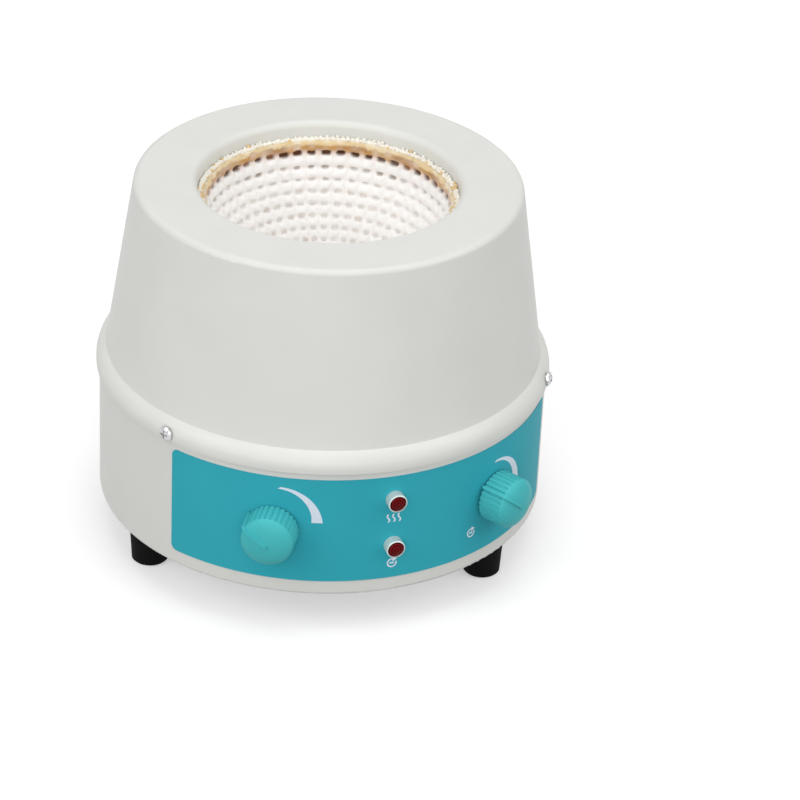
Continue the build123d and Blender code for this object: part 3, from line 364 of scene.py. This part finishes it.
def weave(arc, turn):
    """Height over the valleys and colour of the cloth, with painted shade under the ridges, in the creases
    and in the holes; arcs below the rim in mm, turns in radians.
    """
    noise = np.random.default_rng(WEAVE_SEED)
    column = turn / (2 * math.pi) * COLUMNS
    band = arc / NOISE_BAND
    arc = arc + 0.30 * smooth_noise(noise, 20, COLUMNS, band, column)
    turn = turn + 0.010 * smooth_noise(noise, 20, COLUMNS, band + 0.5, column + 0.5)
    edges = np.array([FIRST_EDGE] + HOLE_ROWS + [LAST_EDGE])
    row = np.clip(np.searchsorted(edges, arc) - 1, 0, len(edges) - 2)
    share = np.clip((arc - edges[row]) / (edges[row + 1] - edges[row]), 0, 1)
    ridge = np.sin(math.pi * share) ** 0.7
    nearest = np.where(share > 0.5, row, row - 1)
    hole_row = np.clip(nearest, 0, len(HOLE_ROWS) - 1)
    counts = np.array([columns_in(r) for r in range(len(edges))])
    count = counts[np.clip(nearest, 0, len(counts) - 1)]
    place = turn / (2 * math.pi) * count
    phase = place % 1 - 0.5
    rib = (0.5 - 0.5 * np.cos(2 * math.pi * phase)) ** 2.0

    pitch = 2 * math.pi * VALLEY_RADIUS / MM * np.cos(arc * MM / VALLEY_RADIUS) / count
    shapes = np.array(HOLE_SHAPES)[np.minimum(hole_row, len(HOLE_SHAPES) - 1)]
    size = per_hole(noise, hole_row, place, 0.80, 1.12)
    across = phase * pitch / (shapes[..., 0] * size * np.minimum(1, pitch / 6.2))
    down = (arc - np.array(HOLE_ROWS)[hole_row]) / (shapes[..., 1] * size)
    hole = 1 - fade((np.abs(across) ** 3 + np.abs(down) ** 3) ** (1 / 3), 0.70, 1.15)
    hole = hole * np.where(nearest < 0, 0, 1)

    lump = smooth_noise(noise, 36, 2 * COLUMNS, band * 2, column * 2)
    fibre = smooth_noise(noise, 90, 6 * COLUMNS, band * 5, column * 6)
    cord = np.exp(-(((arc - CORD_ARC - 0.5 * lump) / (1.8 + 0.5 * fibre)) ** 2))
    height = ridge * (RIDGE_HEIGHT + PILLOW_HEIGHT * (1 - rib)) + (1 - ridge) * RIB_HEIGHT * rib
    height = height * (1 - 0.55 * cord) + cord * (CORD_HEIGHT + 0.55 * lump)
    height = height - hole * HOLE_DEPTH * (0.45 + 0.55 * shapes[..., 2]) + 0.20 * lump + 0.11 * fibre

    stain = 0.60 + 0.40 * np.cos(turn - (STAIN_CENTRE - math.pi / 2))
    stain = stain * (0.85 + 0.25 * smooth_noise(noise, 2, 17, 0 * arc, turn / (2 * math.pi) * 17))
    under_shade = np.clip((share - 0.45) / 0.4, 0, 1) * (nearest >= 0)
    patch = np.clip(smooth_noise(noise, 14, 13, arc / 8, turn / (2 * math.pi) * 13), 0, 1)
    colour = np.ones(arc.shape + (3,)) * np.array(CLOTH_WHITE)
    # painted shade under each ridge, stronger near the rim
    colour = mix(colour, UNDER_RIDGE_SHADE, 0.45 * under_shade * (0.4 + 0.6 * np.exp(-arc / 14)))
    # painted shade on the ribs in the valleys between the ridges, fading deeper down
    colour = mix(colour, RIB_VALLEY_SHADE, 0.50 * rib * (1 - ridge) * np.exp(-arc / 22))
    # painted shade in the creases between the pillows
    colour = mix(colour, PILLOW_CREASE_SHADE, 0.45 * rib * ridge)
    amber = fade(cord, 0.10, 0.50) * np.clip(0.35 + stain, 0, 1)
    colour = mix(colour, AMBER_TINT, amber * np.clip(0.85 + 0.35 * lump, 0, 1))
    worn = np.clip(0.55 + 0.45 * stain + 0.4 * lump, 0, 1)
    colour = mix(colour, EDGE_TINT, (1 - fade(arc, 1.8, 3.2)) * worn)
    scorch = np.clip(smooth_noise(noise, 3, 61, arc / 3, turn / (2 * math.pi) * 61) + 0.15, 0, 1)
    colour = mix(colour, SCORCH_TINT, 0.75 * amber * scorch * stain)
    colour = mix(colour, FIRST_RIB_TINT, 0.85 * rib * (nearest == 0) * (1 - ridge) * stain)
    # painted shade in each hole: a few holes tan, the lower rows blotched
    hole_shade_tones = np.array(HOLE_SHADE_TONES)[np.minimum(hole_row, len(HOLE_SHADE_TONES) - 1)]
    tan = (per_hole(noise, hole_row, place, 0, 1) > 0.86)[..., None]
    hole_shade_tones = np.where(tan, 0.45 * hole_shade_tones + 0.55 * np.array(TAN_HOLE), hole_shade_tones)
    hole_shade_tones = mix(hole_shade_tones, PATCH_TINT, 0.55 * patch * (hole_row > 1))
    # depth here is how much painted shade each hole gets; in the first row it follows the stain
    depth = hole * np.clip(shapes[..., 2] * per_hole(noise, hole_row, place, 0.45, 1.25), 0, 1)
    depth = np.where(hole_row == 0, hole * np.clip(0.30 + stain, 0, 1), depth)
    colour = colour + (hole_shade_tones - colour) * np.clip(depth, 0, 1)[..., None]
    return height, colour


def mix(colour, other, amount):
    """Colour moved towards another by an amount."""
    return colour + (np.array(other) - colour) * amount[..., None]


def cloth_piece(name, arcs, around, closed):
    """Sheet of the bowl with its back: arcs run down from the rim, closed at the pole or left as a ring."""
    turns = np.linspace(0, 2 * math.pi, around, endpoint=False)
    arc_grid, turn_grid = np.meshgrid(arcs, turns, indexing="ij")
    height, colour = weave(arc_grid, turn_grid)
    calm = np.clip((88.0 - arc_grid) / 6.0, 0, 1)
    radius = VALLEY_RADIUS - height * calm * MM
    back_arcs = arcs[:: -(len(arcs) // 8)]
    back_grid, back_turns = np.meshgrid(back_arcs, turn_grid[0], indexing="ij")
    arc_all = np.vstack([arc_grid, back_grid])
    turn_all = np.vstack([turn_grid, back_turns])
    radius_all = np.vstack([radius, np.full(back_grid.shape, CLOTH_BACK)])
    colour_all = np.vstack([colour, np.ones(back_grid.shape + (3,)) * BACK_TINT])
    angle = arc_all * MM / VALLEY_RADIUS
    points = np.stack(
        [
            radius_all * np.cos(angle) * np.cos(turn_all),
            radius_all * np.cos(angle) * np.sin(turn_all),
            BOWL_CENTRE - radius_all * np.sin(angle),
        ],
        -1,
    )
    rows = len(points)
    index = np.arange(rows * around).reshape(rows, around)
    order = list(range(rows)) + [0]
    faces, soft = [], []
    for upper, lower in zip(order, order[1:]):
        if closed and upper == len(arcs) - 1:
            continue
        a, b = index[upper], index[lower]
        faces.append(np.stack([a, np.roll(a, -1), np.roll(b, -1), b], -1))
        soft += [upper not in (len(arcs) - 1, rows - 1)] * around  # the cut edges stay crisp
    faces = np.concatenate(faces).tolist()
    points = points.reshape(-1, 3).tolist()
    if closed:
        for ring, height_at_pole in ((len(arcs) - 1, VALLEY_RADIUS - 0.6 * MM), (len(arcs), CLOTH_BACK)):
            pole = len(points)
            points.append([0, 0, BOWL_CENTRE - height_at_pole])
            colour_all = np.vstack([colour_all.reshape(-1, 3), [POLE_TINT]])
            a = index[ring]
            turned = zip(a, np.roll(a, -1)) if ring < len(arcs) else zip(np.roll(a, -1), a)
            faces += [[i, j, pole] for i, j in turned]
            soft += [True] * around
    piece = mesh_piece(name, points, faces, cloth_yarn)
    piece.data.polygons.foreach_set("use_smooth", soft)
    tint = piece.data.color_attributes.new("tint", "FLOAT_COLOR", "POINT")
    flat = colour_all.reshape(-1, 3)
    tint.data.foreach_set("color", np.hstack([flat, np.ones((len(flat), 1))]).ravel().astype(np.float32))
    return piece


def make_cloth_yarn():
    """Glass yarn: the tint stored on each piece, with painted shade where the woven sheets carry it, and
    fine fibres.
    """
    made = new_material("cloth_yarn", (0.85, 0.83, 0.80), 0.75, Sheen_Weight=0.15)
    tree = made.node_tree
    tint = tree.nodes.new("ShaderNodeVertexColor")
    tint.layer_name = "tint"
    tree.links.new(tint.outputs["Color"], tree.nodes["Principled BSDF"].inputs["Base Color"])
    add_grain(made, 2600, 0.00025, 0.8, 4)
    return made


cloth_yarn = make_cloth_yarn()
CLOTH_AROUND = 18 * COLUMNS
SEAM_ARC = 49.8  # on a ridge, where the two sheets meet
UPPER_ARCS = np.linspace(0.3, SEAM_ARC, 92)
LOWER_ARCS = np.linspace(SEAM_ARC, 85.2, 72)
cloth_wall = cloth_piece("woven_wall", UPPER_ARCS, CLOTH_AROUND, False)
cloth_floor = cloth_piece("woven_floor", LOWER_ARCS, CLOTH_AROUND, True)
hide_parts("woven_heater")
for piece in (cloth_wall, cloth_floor):
    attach(piece, "housing")


RIM_ROLL_RADIUS = 1.20
RIM_ROLL_RING = 56.45
RIM_ROLL_RISE = -1.1
SIDE_STAIN = math.radians(VIEW_AZIMUTH)  # the browned ends of the rim lie left and right in the view
STAINED_YARN = (0.80, 0.58, 0.28)
RIM_YARN = (0.90, 0.87, 0.79)
KNOT_ROWS = [(55.7, -0.5, 2.3), (56.8, 0.0, 2.4)]  # ring radius, rise over the rim, spacing


def tinted_piece(name, points, faces, tints):
    """Yarn piece with a tint for each point, part of the heater."""
    piece = mesh_piece(name, points, faces, cloth_yarn)
    attribute = piece.data.color_attributes.new("tint", "FLOAT_COLOR", "POINT")
    attribute.data.foreach_set("color", [value for tint in tints for value in (*tint, 1)])
    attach(piece, "housing")
    return piece


def make_rim_roll():
    """Rolled edge of the cloth, a soft lumpy ring."""
    around, sides = 624, 14
    points, faces, tints = [], [], []
    for k in range(around):
        turn = 2 * math.pi * k / around
        swell = 1 + 0.14 * math.sin(turn * 3 * COLUMNS) + random.uniform(-0.06, 0.06)
        for s in range(sides):
            side = 2 * math.pi * s / sides
            radius = (RIM_ROLL_RING + RIM_ROLL_RADIUS * swell * math.cos(side)) * MM
            height = BOWL_CENTRE + (RIM_ROLL_RISE + RIM_ROLL_RADIUS * swell * math.sin(side)) * MM
            points.append((radius * math.cos(turn), radius * math.sin(turn), height))
            inward = -0.3 - 0.7 * math.cos(side) - 0.3 * math.sin(side)
            browned = random.uniform(0.5, 1.0) * max(0.0, inward)
            tints.append([a + (b - a) * browned for a, b in zip(RIM_YARN, STAINED_YARN)])
            a, b = k * sides + s, k * sides + (s + 1) % sides
            c, d = (k + 1) % around * sides + s, (k + 1) % around * sides + (s + 1) % sides
            faces.append((a, c, d, b))
    tinted_piece("rim_roll", points, faces, tints)


def make_knots():
    """Rows of small thread knots on the rolled edge, up against the shell's lip."""
    points, faces, tints = [], [], []
    rings, sides = 5, 8
    for ring, rise, spacing in KNOT_ROWS:
        count = round(2 * math.pi * ring / spacing)
        for k in range(count):
            turn = 2 * math.pi * (k + random.uniform(-0.30, 0.30)) / count
            radius = ring + random.uniform(-0.35, 0.25)
            centre = Vector((radius * math.cos(turn), radius * math.sin(turn), 0)) * MM
            centre.z = BOWL_CENTRE + (rise + random.uniform(-0.5, 0.5)) * MM
            size = Vector([random.uniform(0.70, 1.00) * MM for _ in range(3)])
            stained = 0.06 + 0.30 * abs(math.cos(turn - SIDE_STAIN)) ** 6
            tint = STAINED_YARN if random.random() < stained else RIM_YARN
            start = len(points)
            points.append(centre + Vector((0, 0, size.z)))
            for ring_index in range(1, rings):
                polar = math.pi * ring_index / rings
                for s in range(sides):
                    side = 2 * math.pi * s / sides
                    flat = math.sin(polar)
                    away = (flat * math.cos(side), flat * math.sin(side), math.cos(polar))
                    points.append(centre + Vector([a * b for a, b in zip(away, size)]))
            points.append(centre - Vector((0, 0, size.z)))
            last = len(points) - 1
            for s in range(sides):
                t = (s + 1) % sides
                faces.append((start, start + 1 + s, start + 1 + t))
                for ring_index in range(rings - 2):
                    a, b = start + 1 + ring_index * sides + s, start + 1 + ring_index * sides + t
                    faces.append((a, a + sides, b + sides, b))
                below = start + 1 + (rings - 2) * sides
                faces.append((below + s, last, below + t))
            tints += [tint] * (len(points) - start)
    tinted_piece("rim_fringe", points, faces, tints)


make_rim_roll()
make_knots()

# ---- Print on the control panel ----
PANEL_RADIUS = -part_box("control_panel")[0].y
PRINT_DEPTH = 0.06 * MM
PRINT_HEIGHT = 0.03 * MM


def on_panel(across, height, lift):
    """Point of the panel, across its developed width and above the floor, in metres."""
    turn = across / PANEL_RADIUS
    return ((PANEL_RADIUS + lift) * math.sin(turn), -(PANEL_RADIUS + lift) * math.cos(turn), height)


def printed_band(name, left, right):
    """Printed shape between two lines of (across, height) points in mm, wrapped on the panel."""
    points, faces = [], []
    for (a, b), (c, d) in zip(left, right):
        for across, height in ((a, b), (c, d)):
            points.append(on_panel(across * MM, height * MM, PRINT_HEIGHT))
            points.append(on_panel(across * MM, height * MM, -PRINT_DEPTH))
    for k in range(len(left) - 1):
        i = 4 * k
        faces += [(i, i + 4, i + 6, i + 2), (i + 1, i + 3, i + 7, i + 5)]
        faces += [(i, i + 1, i + 5, i + 4), (i + 2, i + 6, i + 7, i + 3)]
    last = 4 * (len(left) - 1)
    faces += [(0, 2, 3, 1), (last, last + 1, last + 3, last + 2)]
    piece = mesh_piece(name, points, faces, print_ink, smooth=False)
    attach(piece, "housing")
    return piece


def stroke(name, line, width):
    """Printed line of a width in mm along (across, height) points."""
    left, right = [], []
    for k, (a, b) in enumerate(line):
        c, d = line[max(k - 1, 0)]
        e, f = line[min(k + 1, len(line) - 1)]
        length = math.hypot(e - c, f - d)
        nx, ny = -(f - d) / length, (e - c) / length
        left.append((a + nx * width / 2, b + ny * width / 2))
        right.append((a - nx * width / 2, b - ny * width / 2))
    return printed_band(name, left, right)


def knob_place(name):
    """Middle of a knob in the panel's developed width and height, in mm."""
    low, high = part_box(f"{name}_control_shaft")
    middle = (low + high) / 2
    return math.atan2(middle.x, -middle.y) * PANEL_RADIUS / MM, middle.z / MM


SWEEP_OUTER = 18.6
SWEEP_INNER = 15.1
SWEEP_SHIFT = (-1.3, 2.6)
SWEEP_END = 6  # degrees over the level of the knob


def scale_sweep(name, knob, aside, above):
    """Arc that widens clockwise from over the knob to its right, as a sign of more."""
    across, height = knob_place(knob)
    across, height = across + aside, height + above
    left, right = [], []
    for step in range(41):
        turn = math.radians(90 - (90 - SWEEP_END) * step / 40)
        left.append((across + SWEEP_OUTER * math.cos(turn), height + SWEEP_OUTER * math.sin(turn)))
        right.append(
            (
                across + SWEEP_SHIFT[0] + SWEEP_INNER * math.cos(turn),
                height + SWEEP_SHIFT[1] + SWEEP_INNER * math.sin(turn),
            )
        )
    right[-1] = (right[-1][0], left[-1][1])
    printed_band(name, left, right)


scale_sweep("heat_sweep", "heat", 3.0, 2.4)
scale_sweep("stir_sweep", "stir", 0.0, -1.2)


WAVE_SPACING, WAVE_SWAY = 0.62, 0.13  # shares of the sign's size


def heat_sign(name, across, height, size):
    """Three rising waves."""
    for n, shift in enumerate((-1, 0, 1)):
        line = []
        for step in range(21):
            t = step / 20
            sway = WAVE_SPACING * shift + WAVE_SWAY * math.sin(2 * math.pi * t)
            line.append((across + sway * size, height + (t - 0.5) * size))
        stroke(f"{name}_{n}", line, 0.17 * size)


def stir_sign(name, across, height, size):
    """Open circle with an arrow head round a short bar."""
    radius = 0.46 * size
    line = [
        (across + radius * math.cos(math.radians(a)), height + radius * math.sin(math.radians(a)))
        for a in range(70, 381, 10)
    ]
    stroke(f"{name}_ring", line, 0.15 * size)
    tip = math.radians(70)
    tip_across, tip_height = across + radius * math.cos(tip), height + radius * math.sin(tip)
    head = 0.30 * size
    printed_band(
        f"{name}_head",
        [(tip_across - 0.1 * size, tip_height + head), (tip_across + 1.2 * head, tip_height)],
        [(tip_across - 0.1 * size, tip_height - head), (tip_across + 1.2 * head, tip_height - 0.02)],
    )
    stroke(f"{name}_bar", [(across - 0.24 * size, height), (across + 0.24 * size, height)], 0.17 * size)


heat_sign("heat_sign", -0.9, 57.5, 4.0)
stir_sign("stir_sign", -0.9, 34.6, 4.3)
right_across, right_height = knob_place("stir")
stir_sign("stir_knob_sign", right_across - 14.2, right_height - 14.0, 4.2)

# ---- Floor, light and world ----
FLOOR_SIDE = 12.0
FLOOR_GLOW = 0.37
FLOOR_TONE = (0.78, 0.78, 0.78)  # where it is seen
FLOOR_BOUNCE = (0.25, 0.25, 0.25)  # where it only lights the object
WORLD_LIGHT = 0.46


def seen_rays(tree):
    """1 for rays that see or mirror a surface, 0 for those that only light it."""
    rays = tree.nodes.new("ShaderNodeLightPath")
    total = rays.outputs["Is Camera Ray"]
    for kind in ("Is Glossy Ray", "Is Transmission Ray"):
        either = tree.nodes.new("ShaderNodeMath")
        either.operation = "MAXIMUM"
        tree.links.new(total, either.inputs[0])
        tree.links.new(rays.outputs[kind], either.inputs[1])
        total = either.outputs[0]
    return total


def make_floor():
    """Plain pale floor that keeps the object's soft shadow."""
    half = FLOOR_SIDE / 2
    made = new_material("floor_pale", (0.80, 0.80, 0.80), 0.9)
    tree = made.node_tree
    shader = tree.nodes["Principled BSDF"]
    tone = tree.nodes.new("ShaderNodeMix")
    tone.data_type = "RGBA"
    tone.inputs["A"].default_value = (*FLOOR_BOUNCE, 1)
    tone.inputs["B"].default_value = (*FLOOR_TONE, 1)
    tree.links.new(seen_rays(tree), tone.inputs["Factor"])
    tree.links.new(tone.outputs["Result"], shader.inputs["Base Color"])
    scale = tree.nodes.new("ShaderNodeMath")
    scale.operation = "MULTIPLY"
    scale.inputs[1].default_value = FLOOR_GLOW
    tree.links.new(seen_rays(tree), scale.inputs[0])
    shader.inputs["Emission Color"].default_value = (1, 1, 1, 1)
    tree.links.new(scale.outputs[0], shader.inputs["Emission Strength"])
    corners = [(-half, -half, 0), (half, -half, 0), (half, half, 0), (-half, half, 0)]
    floor = mesh_piece("floor", corners, [(0, 1, 2, 3)], made)


make_floor()


LAMP_DISTANCE = 2.0
# azimuth and elevation in degrees, side in metres, power in watts
LAMPS = {
    "top_light": (0, 86, 1.4, 10.0),
    "front_light": (-20, 40, 1.2, 4.0),
    "low_light": (-25, 13, 1.2, 7.8),
    "left_light": (-75, 34, 1.2, 10.0),
    "right_light": (55, 32, 1.2, 8.0),
}


def area_light(name, azimuth, elevation, side, power):
    """Square soft lamp that looks at the object's middle."""
    away = outward(math.radians(azimuth), math.radians(elevation))
    data = bpy.data.lights.new(name, "AREA")
    data.shape = "SQUARE"
    data.size = side
    data.energy = power
    lamp = bpy.data.objects.new(name, data)
    lamp.location = VIEW_TARGET + away * LAMP_DISTANCE
    lamp.rotation_mode = "QUATERNION"
    lamp.rotation_quaternion = away.to_track_quat("Z", "Y")
    scene.collection.objects.link(lamp)


for lamp_name, lamp_values in LAMPS.items():
    area_light(lamp_name, *lamp_values)


def make_world():
    """Even pale surroundings: white where they are seen or mirrored, softer as a light."""
    world = bpy.data.worlds.new("world")
    scene.world = world
    world.use_nodes = True
    tree = world.node_tree
    background = tree.nodes["Background"]
    background.inputs["Color"].default_value = (1, 1, 1, 1)
    strength = tree.nodes.new("ShaderNodeMath")
    strength.operation = "MULTIPLY_ADD"
    strength.inputs[1].default_value = 1 - WORLD_LIGHT
    strength.inputs[2].default_value = WORLD_LIGHT
    tree.links.new(seen_rays(tree), strength.inputs[0])
    tree.links.new(strength.outputs[0], background.inputs["Strength"])


make_world()
